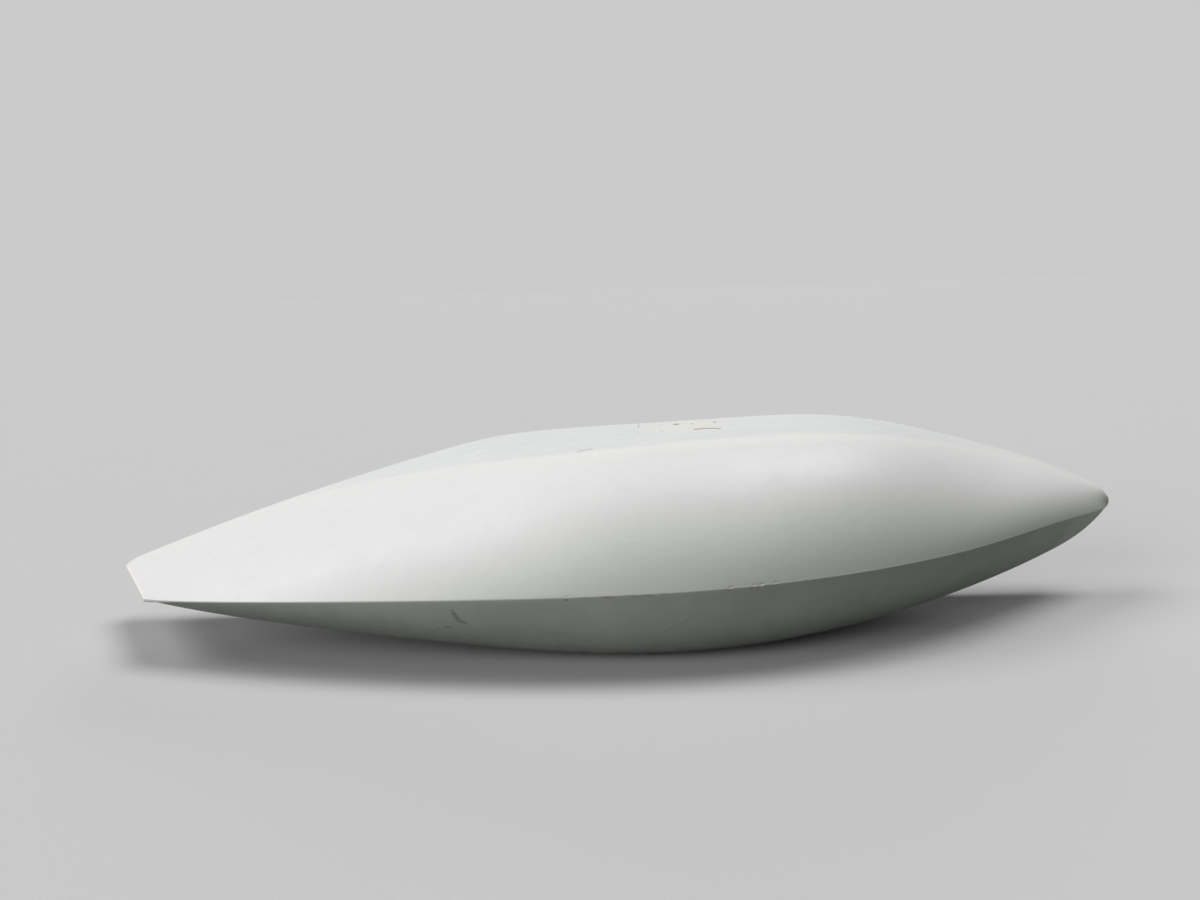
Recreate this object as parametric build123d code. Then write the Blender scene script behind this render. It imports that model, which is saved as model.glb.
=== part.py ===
"""Moulded glass-fibre fairing shell for the side of an airframe.

One thin shell, open at the back. It lies on its rounded underside, with the nose
along +X, the open side along +Y and +Z up. The origin is under the middle of the
length and depth, on the face it rests on. Millimetres throughout.
"""
from build123d import *

import math
import os

# Overall sizes
LENGTH = 920.0  # nose tip to the aft corner of the trailing edge
DEPTH = 190.0  # trimmed rim to the foremost point of the chine
HEIGHT = 175.0  # resting face to the top of the rim
WALL = 3.0  # laminate thickness

# Tail, chine and nose
TAIL_SWEEP = 75.0  # how far the outer tail corner lies ahead of the inner one
TAIL_THICKNESS = 4.0  # thickness of the trailing edge
TAIL_ROUND = 10.0  # rounding of the inner tail corner, seen from above
TAIL_WEDGE = 60.0  # length over which the trailing edge thickens
TAIL_CORNER = 0.37  # outer tail corner, share of DEPTH behind the foremost point
CHINE_THICKNESS = 1.6  # flat left where the two faces meet at the chine
CHINE_WIDEST = 0.526  # place along the length where the chine is foremost
CHINE_POINTED = 0.9  # how pointed the front half is, seen from above
NOSE_RADIUS = 20.0  # rounding of the nose, seen from the side
NOSE_LEVEL = 0.491  # height of the nose tip, share of HEIGHT
NOSE_DRESSED = 1.5  # how much of the very tip is dressed off

# Shape of the sections
SHOULDER_ROUND = 6.0  # half width of the rounding along the shoulder
TOP_CROWN = 3.0  # slope of the top where it leaves the shoulder, degrees
FACE_ANGLE = 88.0  # slope of a full main face where it leaves the chine, degrees
CURVE_REACH = 0.38  # handle length of a section curve, share of its chord
FACE_STRIPS = 6  # strips that a long face is laid out in, round the section
TOP_STRIPS = 3  # strips that the top is laid out in
OUTER_STATIONS = 24  # sections of the outside, along the length
INNER_STATIONS = 48  # sections of the inside

# The skins are bonded together at the two ends, so the hollow stops short there.
TAIL_BOND = 30.0
NOSE_BOND = 22.0
PAST_RIM = 6.0  # how far the moulding runs past the rim before it is trimmed

# Heights along the body. Each pair is a place along the length, 0 at the tail and
# 1 at the nose, and a share of HEIGHT.
RIM_TOP = [
    (0.000, 0.314),
    (0.130, 0.560),
    (0.250, 0.757),
    (0.336, 0.881),
    (0.385, 0.937),
    (0.432, 0.962),
    (0.520, 0.980),
    (0.630, 1.000),
    (0.705, 1.000),
    (0.765, 0.960),
    (0.846, 0.854),
    (0.933, 0.706),
    (1.000, 0.554),
]
KEEL = [
    (0.000, 0.312),
    (0.050, 0.266),
    (0.120, 0.206),
    (0.282, 0.100),
    (0.390, 0.042),
    (0.510, 0.000),
    (0.640, 0.029),
    (0.730, 0.092),
    (0.911, 0.284),
    (1.000, 0.430),
]
CHINE = [
    (0.087, 0.326),
    (0.282, 0.383),
    (0.500, 0.417),
    (0.662, 0.440),
    (0.825, 0.474),
    (0.933, 0.500),
    (1.000, 0.503),
]

# The shoulder line between the main face and the top. Each pair is a place along
# the length and a share of DEPTH, 0 in line with the foremost point of the chine.
SHOULDER = [
    (0.000, 0.963),
    (0.120, 0.922),
    (0.187, 0.868),
    (0.290, 0.723),
    (0.365, 0.598),
    (0.430, 0.490),
    (0.500, 0.408),
    (0.600, 0.440),
    (0.700, 0.510),
    (0.800, 0.720),
    (0.880, 0.890),
    (1.000, 0.974),
]

# How far the shoulder lies below the rim, share of HEIGHT.
SHOULDER_DROP = [
    (0.000, 0.000),
    (0.187, 0.002),
    (0.290, 0.029),
    (0.390, 0.050),
    (0.500, 0.002),
    (0.650, 0.000),
    (0.780, 0.019),
    (1.000, 0.000),
]

# How full the main face stands along the length, 0 flat and 1 full.
FULLNESS = [
    (0.000, 0.00),
    (0.050, 0.18),
    (0.130, 0.29),
    (0.270, 0.47),
    (0.430, 0.70),
    (0.540, 0.88),
    (0.620, 1.00),
    (1.000, 1.00),
]

# Where the underside turns level, share of the way from the chine to the rim.
TURN = [
    (0.000, 0.10),
    (0.120, 0.26),
    (0.300, 0.34),
    (0.500, 0.36),
    (1.000, 0.40),
]

# How much steeper than its chord the underside leaves the chine, degrees.
BELLY = [
    (0.000, 0.0),
    (0.100, 12.0),
    (0.500, 15.0),
    (1.000, 14.0),
]


def smooth(points):
    """Return the smooth curve through the points as a function of its place."""
    places = [point[0] for point in points]
    values = [point[1] for point in points]
    steps = [b - a for a, b in zip(places, places[1:])]
    rises = [(b - a) / step for a, b, step in zip(values, values[1:], steps)]
    bends = [0.0] * len(points)
    pivots = [1.0] * len(points)
    for i in range(1, len(points) - 1):
        carried = steps[i - 1] / pivots[i - 1] if i > 1 else 0.0
        pivots[i] = 2.0 * (steps[i - 1] + steps[i]) - carried * steps[i - 1]
        bends[i] = 6.0 * (rises[i] - rises[i - 1]) - carried * bends[i - 1]
    for i in range(len(points) - 2, 0, -1):
        bends[i] = (bends[i] - steps[i] * bends[i + 1]) / pivots[i]

    def value(place):
        place = min(max(place, places[0]), places[-1])
        i = 0
        while i < len(steps) - 1 and place > places[i + 1]:
            i = i + 1
        before = place - places[i]
        after = places[i + 1] - place
        bend = (bends[i] * after**3 + bends[i + 1] * before**3) / (6.0 * steps[i])
        start = (values[i] / steps[i] - bends[i] * steps[i] / 6.0) * after
        end = (values[i + 1] / steps[i] - bends[i + 1] * steps[i] / 6.0) * before
        return bend + start + end

    return value


rim_top = smooth(RIM_TOP)
keel = smooth(KEEL)
chine = smooth(CHINE)
shoulder = smooth(SHOULDER)
shoulder_drop = smooth(SHOULDER_DROP)
fullness = smooth(FULLNESS)
turn = smooth(TURN)
belly = smooth(BELLY)

BACK = DEPTH / 2.0
FRONT = -DEPTH / 2.0


def taper(place):
    """Return the share of the height left where the nose rounds off."""
    into = (place - 1.0) * LENGTH / NOSE_RADIUS + 1.0
    return 1.0 if into <= 0.0 else math.sqrt(max(1.0 - into * into, 0.0))


def level(share, place):
    """Return a height, drawn towards the nose tip where the nose rounds off."""
    return HEIGHT * (NOSE_LEVEL + (share - NOSE_LEVEL) * taper(place))


def tail_fade(place):
    """Return 1 on the trailing edge, falling to 0 a little way ahead of it."""
    return max(0.0, 1.0 - place * LENGTH / TAIL_WEDGE) ** 2


def chine_across(place):
    """Return where the chine lies across the depth at a place along the length."""
    if place >= CHINE_WIDEST:
        along = min((place - CHINE_WIDEST) / (1.0 - CHINE_WIDEST), 1.0)
        return BACK - DEPTH * (1.0 - along**2) ** CHINE_POINTED
    along = (CHINE_WIDEST - place) / (CHINE_WIDEST - TAIL_SWEEP / LENGTH)
    return FRONT + TAIL_CORNER * DEPTH * along**2


def slope(start, end):
    """Return the angle of the line from one section point to another."""
    return math.atan2(end[1] - start[1], end[0] - start[0])


def go(point, length, angle):
    """Return the point reached from a section point, a length along an angle."""
    return (point[0] + length * math.cos(angle), point[1] + length * math.sin(angle))


def corner(first, first_angle, first_move, second, second_angle, second_move):
    """Return where two lines cross once each is moved to its own left."""
    first = go(first, first_move, first_angle + math.pi / 2.0)
    second = go(second, second_move, second_angle + math.pi / 2.0)
    turn_between = math.sin(second_angle - first_angle)
    if abs(turn_between) < 0.02:
        return first
    gap = (second[0] - first[0], second[1] - first[1])
    side = gap[0] * math.sin(second_angle) - gap[1] * math.cos(second_angle)
    return go(first, side / turn_between, first_angle)


def curve(start, leave, arrive, end):
    """Return the four points of a section curve with its slopes at both ends."""
    reach = CURVE_REACH * math.dist(start, end)
    return [start, go(start, reach, leave), go(end, -reach, arrive), end]


def between(first, second, share):
    """Return the point that lies a share of the way from one point to another."""
    return tuple(a + (b - a) * share for a, b in zip(first, second))


def strips(line, count):
    """Return a section curve laid out in strips that run on smoothly."""
    pieces = []
    for left in range(count, 1, -1):
        rows = [line]
        while len(rows[-1]) > 1:
            pairs = zip(rows[-1], rows[-1][1:])
            rows.append([between(a, b, 1.0 / left) for a, b in pairs])
        pieces.append([row[0] for row in rows])
        line = [row[-1] for row in reversed(rows)]
    return [*pieces, line]


def section(place, inset):
    """Return one section as a wire, standing on the line from the rim to the chine.

    It runs past the rim, where the moulding is trimmed later. An inset moves all
    its lines inward.
    """
    sweep = TAIL_SWEEP * max(0.0, 1.0 - place / CHINE_WIDEST) ** 1.6
    chine_place = place + sweep / LENGTH
    chine_y = chine_across(chine_place)
    across = BACK - chine_y
    fade = tail_fade(place)
    top = level(rim_top(place), place)
    low = level(keel(place), place)
    middle = level(chine(chine_place), place)
    thin = CHINE_THICKNESS + (TAIL_THICKNESS - CHINE_THICKNESS) * fade
    half = thin / 2.0 * taper(place)

    # Corners of the section
    upper = (chine_y, middle + half)
    lower = (chine_y, middle - half)
    turned = (chine_y + across * turn(place), low)
    sole = (BACK, low + (top - TAIL_THICKNESS - low) * fade)
    crest_y = min(FRONT + DEPTH * shoulder(place), BACK - 0.08 * across)
    crest_z = top - HEIGHT * shoulder_drop(place) * taper(place)
    crest = (max(crest_y, chine_y + 0.25 * across), crest_z)
    rim = (BACK, top)

    # Slopes of the main face, the top, the underside and the sole
    full = fullness(place)
    lean = slope(upper, crest)
    leave = lean + (math.radians(FACE_ANGLE) - lean) * full
    arrive = lean * (1.0 - 0.66 * full)
    rise = slope(crest, rim)
    crown = math.radians(TOP_CROWN)
    fall = slope(lower, turned)
    drop = fall - math.radians(belly(place))
    flatten = fall * (1.0 - 0.75 * full)
    flat = slope(turned, sole)

    long_strips, top_strips = FACE_STRIPS, TOP_STRIPS
    if inset > 0.0:
        long_strips, top_strips = 1, 1
        tip = corner(upper, leave, -inset, lower, drop, inset)
        turned = corner(turned, flatten, inset, turned, flat, inset)
        crest = corner(crest, arrive, -inset, crest, rise + crown, -inset)
        upper = go(tip, half / 2.0, math.pi / 2.0)
        lower = go(tip, half / 2.0, -math.pi / 2.0)

    past = slope(rim, go(rim, 1.0, rise - crown))
    rim = go(rim, PAST_RIM, past)
    rim = (rim[0], rim[1] - inset)
    sole = (sole[0] + PAST_RIM, sole[1] + inset)

    soft = min(SHOULDER_ROUND, 0.3 * (rim[0] - crest[0]))
    before = go(crest, -soft, arrive)
    after = go(crest, soft, rise + crown)
    face = curve(upper, leave, arrive, before)
    roof = curve(after, rise + crown, rise - crown, rim)
    underside = curve(turned, flatten + math.pi, drop + math.pi, lower)
    lines = [
        *strips(face, long_strips),
        [before, crest, after],
        *strips(roof, top_strips),
        [rim, sole],
        [sole, turned],
        *strips(underside, long_strips),
        [lower, upper],
    ]

    def stand(point):
        x = (place - 0.5) * LENGTH + sweep * (BACK - point[0]) / across
        return (x, point[0], point[1])

    edges = [Bezier(*[stand(point) for point in line]) for line in lines]
    return Wire(edges)


def places(first, last, count):
    """Return places along the body, closer together towards both ends."""
    steps = [(1.0 - math.cos(math.pi * i / count)) / 2.0 for i in range(count + 1)]
    return [first + (last - first) * step for step in steps]


def outside():
    """Return the solid body within the outer faces."""
    last = 1.0 - NOSE_DRESSED / LENGTH
    sections = [section(place, 0.0) for place in places(0.0, last, OUTER_STATIONS)]
    return Solid.make_loft(sections)


def tail_corner():
    """Return what is dressed off the sharp inner corner of the tail."""
    tip = (-LENGTH / 2.0, BACK)
    along = slope(tip, (tip[0] + TAIL_SWEEP, chine_across(TAIL_SWEEP / LENGTH)))
    reach = TAIL_ROUND / math.tan(-along / 2.0)
    centre = go(tip, TAIL_ROUND / math.sin(-along / 2.0), along / 2.0)
    start = go(tip, reach, along)
    middle = go(centre, -TAIL_ROUND, along / 2.0)
    end = go(tip, reach, 0.0)
    beside = go(start, -TAIL_ROUND, along + math.pi / 2.0)
    beyond = go(tip, -3.0 * TAIL_ROUND, along / 2.0)
    behind = go(end, TAIL_ROUND, math.pi / 2.0)
    rounding = ThreePointArc(start, middle, end)
    around = Polyline(end, behind, beyond, beside, start)
    return extrude(make_face([rounding, *around.edges()]), HEIGHT)


def hollow():
    """Return the body of air inside the laminate, running out past the rim.

    The inside is laid up by hand, so it goes straight from one section to the next.
    """
    first = TAIL_BOND / LENGTH
    last = 1.0 - NOSE_BOND / LENGTH
    sections = [section(place, WALL) for place in places(first, last, INNER_STATIONS)]
    return Solid.make_loft(sections, ruled=True)


def beyond_rim():
    """Return what is trimmed off the moulding behind the upright plane of the rim."""
    trim = Box(2.0 * LENGTH, 2.0 * PAST_RIM, 3.0 * HEIGHT)
    return Pos(0.0, BACK + PAST_RIM, 0.0) * trim


def fairing_shell():
    """Return the moulded shell, set down with the origin under its middle."""
    shell = outside() - tail_corner() - hollow() - beyond_rim()
    box = shell.bounding_box()
    return Pos(-box.center().X, 0.0, -box.min.Z) * shell


def main():
    """Write the shell."""
    os.makedirs("parts", exist_ok=True)
    shell = fairing_shell()
    shell.label = "fairing_shell"
    export_step(shell, "parts/fairing_shell.step")


if __name__ == "__main__":
    main()
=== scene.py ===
"""Dresses the moulded fairing shell: worn white paint outside, bare laminate inside.

The shell is skinned again over its own sections, finer than the solid, and carries
the marks of use. Metres throughout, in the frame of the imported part: the nose
along +X, the open back along +Y and +Z up.
"""
import logging
import math
from dataclasses import dataclass, field
from enum import Enum
from functools import cached_property
from typing import Callable, Sequence

import bmesh
import bpy
from mathutils import Euler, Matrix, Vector


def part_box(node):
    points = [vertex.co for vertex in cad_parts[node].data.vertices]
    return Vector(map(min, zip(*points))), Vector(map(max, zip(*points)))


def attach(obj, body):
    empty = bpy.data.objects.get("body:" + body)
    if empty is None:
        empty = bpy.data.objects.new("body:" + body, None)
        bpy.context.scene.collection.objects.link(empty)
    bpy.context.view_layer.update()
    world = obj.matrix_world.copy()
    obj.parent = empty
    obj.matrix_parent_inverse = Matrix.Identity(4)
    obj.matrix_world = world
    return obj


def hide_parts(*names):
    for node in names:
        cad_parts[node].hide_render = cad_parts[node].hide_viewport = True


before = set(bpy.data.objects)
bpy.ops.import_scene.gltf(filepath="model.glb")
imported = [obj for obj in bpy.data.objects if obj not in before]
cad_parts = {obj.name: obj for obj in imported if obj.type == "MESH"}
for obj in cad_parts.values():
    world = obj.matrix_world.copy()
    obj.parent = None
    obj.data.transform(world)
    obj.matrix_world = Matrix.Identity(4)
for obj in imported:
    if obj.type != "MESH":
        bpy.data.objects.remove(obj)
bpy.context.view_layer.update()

LOG = logging.getLogger("fairing")

MM = 0.001
QUARTER = math.pi / 2.0
NODE = "fairing_shell"
BODY = "root"

Pair = tuple[float, float]
Point = tuple[float, float, float]
Colour = tuple[float, float, float]


class Side(Enum):
    """The two faces of the laminate."""

    OUTER = 0.0
    INNER = 1.0


class Trait(Enum):
    """What each point of the skin remembers, for its finish."""

    INSIDE = "inside"
    GIRTH = "girth"
    SHOULDER = "shoulder"
    CHINE = "chine"
    AFT = "aft"


def clear_selection() -> None:
    """Leave nothing selected and no object in edit mode."""
    if bpy.context.object is not None and bpy.context.object.mode != "OBJECT":
        bpy.ops.object.mode_set(mode="OBJECT")
    bpy.ops.object.select_all(action="DESELECT")


def take(thing: bpy.types.Object) -> None:
    """Select one object alone and make it the active one.

    Args:
        thing: The object to work on next.
    """
    clear_selection()
    thing.select_set(True)
    bpy.context.view_layer.objects.active = thing


def editing(thing: bpy.types.Object) -> bmesh.types.BMesh:
    """Open the mesh that is in edit mode, with its points ready to be numbered.

    Args:
        thing: The object in edit mode.

    Returns:
        Its mesh.
    """
    shape = bmesh.from_edit_mesh(thing.data)
    shape.verts.ensure_lookup_table()
    return shape


def mixed(first: float, second: float, share: float) -> float:
    """Return the number that lies a share of the way between two."""
    return first + (second - first) * share


def slope(start: Pair, end: Pair) -> float:
    """Return the angle of the line from one section point to another."""
    return math.atan2(end[1] - start[1], end[0] - start[0])


def go(point: Pair, length: float, angle: float) -> Pair:
    """Return the section point reached by a length along an angle."""
    return (point[0] + length * math.cos(angle), point[1] + length * math.sin(angle))


def crossing(
    first: Pair, first_way: float, first_move: float,
    second: Pair, second_way: float, second_move: float,
    least_turn: float = 0.02,
) -> Pair:
    """Return where two lines cross once each is moved to its own left.

    Args:
        first: A point of the first line.
        first_way: The angle of the first line.
        first_move: How far the first line moves to its left.
        second: A point of the second line.
        second_way: The angle of the second line.
        second_move: How far the second line moves to its left.
        least_turn: The turn below which the two are taken as one line.

    Returns:
        The point where the moved lines meet.
    """
    first = go(first, first_move, first_way + QUARTER)
    second = go(second, second_move, second_way + QUARTER)
    turned = math.sin(second_way - first_way)
    if abs(turned) < least_turn:
        return first
    gap = (second[0] - first[0], second[1] - first[1])
    side = gap[0] * math.sin(second_way) - gap[1] * math.cos(second_way)
    return go(first, side / turned, first_way)


class Fairline:
    """A smooth line through points, as a batten lies between its weights."""

    def __init__(self, *points: Pair) -> None:
        """Fit the line, a natural cubic spline.

        Args:
            *points: Pairs of a place along the length and a value there.
        """
        self.places = [point[0] for point in points]
        self.values = [point[1] for point in points]
        self.steps = [b - a for a, b in zip(self.places, self.places[1:])]
        rises = [
            (b - a) / step
            for a, b, step in zip(self.values, self.values[1:], self.steps)
        ]
        count = len(points)
        self.bends = [0.0] * count
        pivots = [1.0] * count
        for i in range(1, count - 1):
            carried = self.steps[i - 1] / pivots[i - 1] if i > 1 else 0.0
            pivots[i] = 2.0 * (self.steps[i - 1] + self.steps[i])
            pivots[i] -= carried * self.steps[i - 1]
            self.bends[i] = 6.0 * (rises[i] - rises[i - 1])
            self.bends[i] -= carried * self.bends[i - 1]
        for i in range(count - 2, 0, -1):
            self.bends[i] -= self.steps[i] * self.bends[i + 1]
            self.bends[i] /= pivots[i]

    def __call__(self, place: float) -> float:
        """Read the line.

        Args:
            place: Where along the length, held between the line's two ends.

        Returns:
            The value there.
        """
        place = min(max(place, self.places[0]), self.places[-1])
        i = 0
        while i < len(self.steps) - 1 and place > self.places[i + 1]:
            i += 1
        step = self.steps[i]
        before = place - self.places[i]
        after = self.places[i + 1] - place
        bend = self.bends[i] * after**3 + self.bends[i + 1] * before**3
        start = (self.values[i] / step - self.bends[i] * step / 6.0) * after
        end = (self.values[i + 1] / step - self.bends[i + 1] * step / 6.0) * before
        return bend / (6.0 * step) + start + end


@dataclass
class Strand:
    """One curved stretch of a section, from its first to its last point.

    A crowding above 1 draws the points together at that end.
    """

    handles: list[Pair]
    steps: int
    crowd_start: float = 1.0
    crowd_end: float = 1.0

    def at(self, share: float) -> Pair:
        """Find a point of the stretch.

        Args:
            share: How far along it the point lies, from 0 to 1.

        Returns:
            The point.
        """
        row = list(self.handles)
        while len(row) > 1:
            row = [
                (mixed(a[0], b[0], share), mixed(a[1], b[1], share))
                for a, b in zip(row, row[1:])
            ]
        return row[0]

    def points(self, edge: float) -> list[Pair]:
        """Return the points of the stretch, its last one left out.

        Args:
            edge: Where across the depth the stretch is trimmed.

        Returns:
            Its points, closer together at a crowded end, with the trimmed end.
        """
        first, last = 0.0, 1.0
        if self.handles[-1][0] > edge:
            last = self.reach(edge)
        if self.handles[0][0] > edge:
            first = self.reach(edge)
        even = [i / self.steps for i in range(self.steps + 1)]
        crowded = [
            1.0 - (1.0 - share**self.crowd_start) ** self.crowd_end
            for share in even
        ]
        row = [self.at(mixed(first, last, share)) for share in crowded]
        return row if last < 1.0 else row[:-1]

    def reach(self, edge: float, tries: int = 40) -> float:
        """Find where the stretch crosses the trimmed edge.

        Args:
            edge: Where the edge stands across the depth.
            tries: How many times the search halves its range.

        Returns:
            The share of the way at which they cross.
        """
        low, high = 0.0, 1.0
        rising = self.handles[-1][0] > self.handles[0][0]
        for _ in range(tries):
            middle = (low + high) / 2.0
            if (self.at(middle)[0] < edge) == rising:
                low = middle
            else:
                high = middle
        return low


@dataclass
class Ring:
    """One section's points in place, with what each one remembers."""

    points: list[Point]
    traits: dict[Trait, list[float]]


@dataclass
class Nick:
    """A small place where the edge of the chine is knocked back."""

    place: float
    width: float
    depth: float

    def depth_at(self, along: float) -> float:
        """Return how far the edge is knocked back at a place."""
        share = (along - self.place) / self.width
        return self.depth * max(0.0, 1.0 - share * share) ** 0.5


@dataclass
class Corners:
    """The corners of one section, with the ways of the faces that meet there.

    The section runs from the sole, at the foot of the rim, over the turned corner of
    the underside to the chine's lower and upper edge, and over the crest of the
    shoulder to the rim. Ways are angles, all taken from the chine towards the back.
    """

    sole: Pair
    turned: Pair
    lower: Pair
    upper: Pair
    crest: Pair
    rim: Pair
    half: float
    middle: float
    flatten: float
    dive: float
    leave: float
    arrive: float
    rise: float

    def draw_in(self, wall: float, crown: float) -> None:
        """Move the corners inwards, to the inner face of the laminate.

        Args:
            wall: The thickness of the laminate.
            crown: How much steeper the top leaves the shoulder than its chord.
        """
        flat = slope(self.turned, self.sole)
        tip = crossing(self.upper, self.leave, -wall, self.lower, self.dive, wall)
        self.turned = crossing(
            self.turned, self.flatten, wall, self.turned, flat, wall
        )
        self.crest = crossing(
            self.crest, self.arrive, -wall, self.crest, self.rise + crown, -wall
        )
        self.upper = go(tip, self.half / 2.0, QUARTER)
        self.lower = go(tip, self.half / 2.0, -QUARTER)
        self.middle = tip[1]


@dataclass
class ShellForm:
    """The lines that the shell is lofted from.

    Lengths are in metres. The lines along the body run from 0 at the tail to 1 at
    the nose, and give shares of the height or of the depth.
    """

    length: float = 920.0 * MM
    depth: float = 190.0 * MM
    height: float = 175.0 * MM
    wall: float = 3.0 * MM
    tail_sweep: float = 75.0 * MM
    sweep_fade: float = 1.6
    tail_thickness: float = 2.6 * MM
    tail_wedge: float = 60.0 * MM
    tail_corner: float = 0.37
    chine_thickness: float = 1.0 * MM
    chine_widest: float = 0.526
    chine_pointed: float = 0.9
    chine_blunt: float = 0.2
    nose_radius: float = 15.0 * MM
    nose_level: float = 0.476
    nose_dressed: float = 1.5 * MM
    nose_blunt: float = 0.06
    shoulder_round: float = 6.0 * MM
    shoulder_of_top: float = 0.3
    shoulder_of_room: float = 0.6
    crest_off_rim: float = 0.08
    crest_off_chine: float = 0.25
    top_crown: float = 3.0
    face_angle: float = 88.0
    face_levelled: float = 0.66
    belly_levelled: float = 0.75
    curve_reach: float = 0.38
    tail_bond: float = 30.0 * MM
    nose_bond: float = 22.0 * MM
    past_rim: float = 6.0 * MM
    edge_round: float = 0.8 * MM
    edge_of_thickness: float = 0.04
    edge_of_room: float = 0.7
    edge_bulge: float = 0.29
    edge_shares: tuple[float, ...] = (0.1, 0.3, 0.6)
    nick_back: tuple[float, ...] = (1.0, 1.0, 0.8, 0.3)
    nick_down: tuple[float, ...] = (0.0, 0.3, 0.6, 0.3)
    sole_steps: int = 8
    belly_steps: int = 24
    chine_steps: int = 4
    face_steps: int = 38
    shoulder_steps: int = 5
    top_steps: int = 12
    belly_crowding: float = 1.5
    face_crowding: float = 1.4
    stations: int = 96
    chipped: tuple[float, float, int] = (0.578, 0.634, 44)
    dotted: tuple[float, float, int] = (0.450, 0.456, 5)
    rim_top: Fairline = Fairline(
        (0.000, 0.314), (0.130, 0.560), (0.250, 0.757), (0.336, 0.881),
        (0.385, 0.937), (0.432, 0.962), (0.520, 0.980), (0.630, 1.000),
        (0.705, 1.000), (0.765, 0.960), (0.846, 0.854), (0.933, 0.706),
        (1.000, 0.546),
    )
    keel: Fairline = Fairline(
        (0.000, 0.312), (0.050, 0.266), (0.120, 0.206), (0.282, 0.100),
        (0.390, 0.042), (0.510, 0.000), (0.640, 0.029), (0.730, 0.092),
        (0.911, 0.284), (0.965, 0.374), (1.000, 0.476),
    )
    chine: Fairline = Fairline(
        (0.087, 0.326), (0.282, 0.383), (0.500, 0.417), (0.662, 0.440),
        (0.825, 0.474), (0.913, 0.494), (0.958, 0.483), (1.000, 0.462),
    )
    shoulder: Fairline = Fairline(
        (0.000, 0.963), (0.120, 0.922), (0.187, 0.868), (0.290, 0.723),
        (0.365, 0.580), (0.430, 0.460), (0.500, 0.375), (0.600, 0.402),
        (0.700, 0.468), (0.800, 0.670), (0.880, 0.875), (1.000, 0.974),
    )
    shoulder_drop: Fairline = Fairline(
        (0.000, 0.000), (0.187, 0.002), (0.290, 0.031), (0.390, 0.060),
        (0.500, 0.018), (0.650, 0.016), (0.780, 0.032), (1.000, 0.000),
    )
    fullness: Fairline = Fairline(
        (0.000, 0.00), (0.050, 0.18), (0.130, 0.29), (0.270, 0.47),
        (0.430, 0.70), (0.540, 0.88), (0.620, 1.00), (1.000, 1.00),
    )
    turn: Fairline = Fairline(
        (0.000, 0.10), (0.120, 0.26), (0.300, 0.34), (0.500, 0.36), (1.000, 0.40),
    )
    belly: Fairline = Fairline(
        (0.000, 0.0), (0.100, 12.0), (0.500, 15.0), (1.000, 14.0),
    )
    nicks: tuple[Nick, ...] = (
        Nick(0.0785, 0.0020, 0.0005), Nick(0.0962, 0.0014, 0.0005),
        Nick(0.1017, 0.0018, 0.0006), Nick(0.1120, 0.0014, 0.0005),
        Nick(0.0890, 0.0009, 0.0003), Nick(-0.0430, 0.0012, 0.0004),
    )

    @property
    def back(self) -> float:
        """Where the rim stands across the depth."""
        return self.depth / 2.0

    def taper(self, place: float) -> float:
        """Find how much of the height is left where the nose rounds off.

        Args:
            place: Where the section stands.

        Returns:
            The share left, 1 before the nose.
        """
        left = (1.0 - place) * self.length - self.nose_dressed
        into = 1.0 - left / self.nose_radius
        round_off = math.sqrt(max(1.0 - into * into, self.nose_blunt**2))
        return 1.0 if into <= 0.0 else round_off

    def level(self, share: float, place: float) -> float:
        """Return a height, drawn towards the nose tip where the nose rounds off."""
        drawn = (share - self.nose_level) * self.taper(place)
        return self.height * (self.nose_level + drawn)

    def chine_across(self, place: float) -> float:
        """Find where the chine lies across the depth.

        Args:
            place: Where along the length it is wanted.

        Returns:
            Its place across the depth.
        """
        if place >= self.chine_widest:
            along = (place - self.chine_widest) / (1.0 - self.chine_widest)
            filled = (1.0 - min(along, 1.0) ** 2) ** self.chine_pointed
            return self.back - self.depth * filled
        reach = self.chine_widest - self.tail_sweep / self.length
        along = (self.chine_widest - place) / reach
        return self.tail_corner * self.depth * along**2 - self.back

    def curve(self, start: Pair, leave: float, arrive: float, end: Pair) -> list[Pair]:
        """Return the handles of a section curve with its slopes at both ends."""
        reach = self.curve_reach * math.dist(start, end)
        return [start, go(start, reach, leave), go(end, -reach, arrive), end]

    def swept(self, place: float) -> float:
        """Return how far ahead of its rim a section's chine lies."""
        fade = max(0.0, 1.0 - place / self.chine_widest)
        return self.tail_sweep * fade**self.sweep_fade

    def corners(self, place: float) -> Corners:
        """Set out the corners of a section of the outside.

        Args:
            place: Where the section stands, 0 at the tail and 1 at the nose.

        Returns:
            The section's corners.
        """
        chine_place = place + self.swept(place) / self.length
        chine_y = self.chine_across(chine_place)
        across = self.back - chine_y
        fade = max(0.0, 1.0 - place * self.length / self.tail_wedge) ** 2
        top = self.level(self.rim_top(place), place)
        low = self.level(self.keel(place), place)
        middle = self.level(self.chine(chine_place), place)
        half = mixed(self.chine_thickness, self.tail_thickness, fade) / 2.0
        half *= self.taper(place)
        upper = (chine_y, middle + half)
        lower = (chine_y, middle - half)
        turned = (chine_y + across * self.turn(place), low)
        sole = (self.back, mixed(low, top - self.tail_thickness, fade))
        crest_y = min(
            self.depth * self.shoulder(place) - self.back,
            self.back - self.crest_off_rim * across,
        )
        crest_y = max(crest_y, chine_y + self.crest_off_chine * across)
        drop = self.height * self.shoulder_drop(place) * self.taper(place)
        crest = (crest_y, top - drop)
        rim = (self.back, top)
        full = self.fullness(place)
        lean = slope(upper, crest)
        fall = slope(lower, turned)
        return Corners(
            sole, turned, lower, upper, crest, rim, half, middle,
            flatten=fall * (1.0 - self.belly_levelled * full),
            dive=fall - math.radians(self.belly(place)),
            leave=mixed(lean, math.radians(self.face_angle), full),
            arrive=lean * (1.0 - self.face_levelled * full),
            rise=slope(crest, rim),
        )

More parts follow.
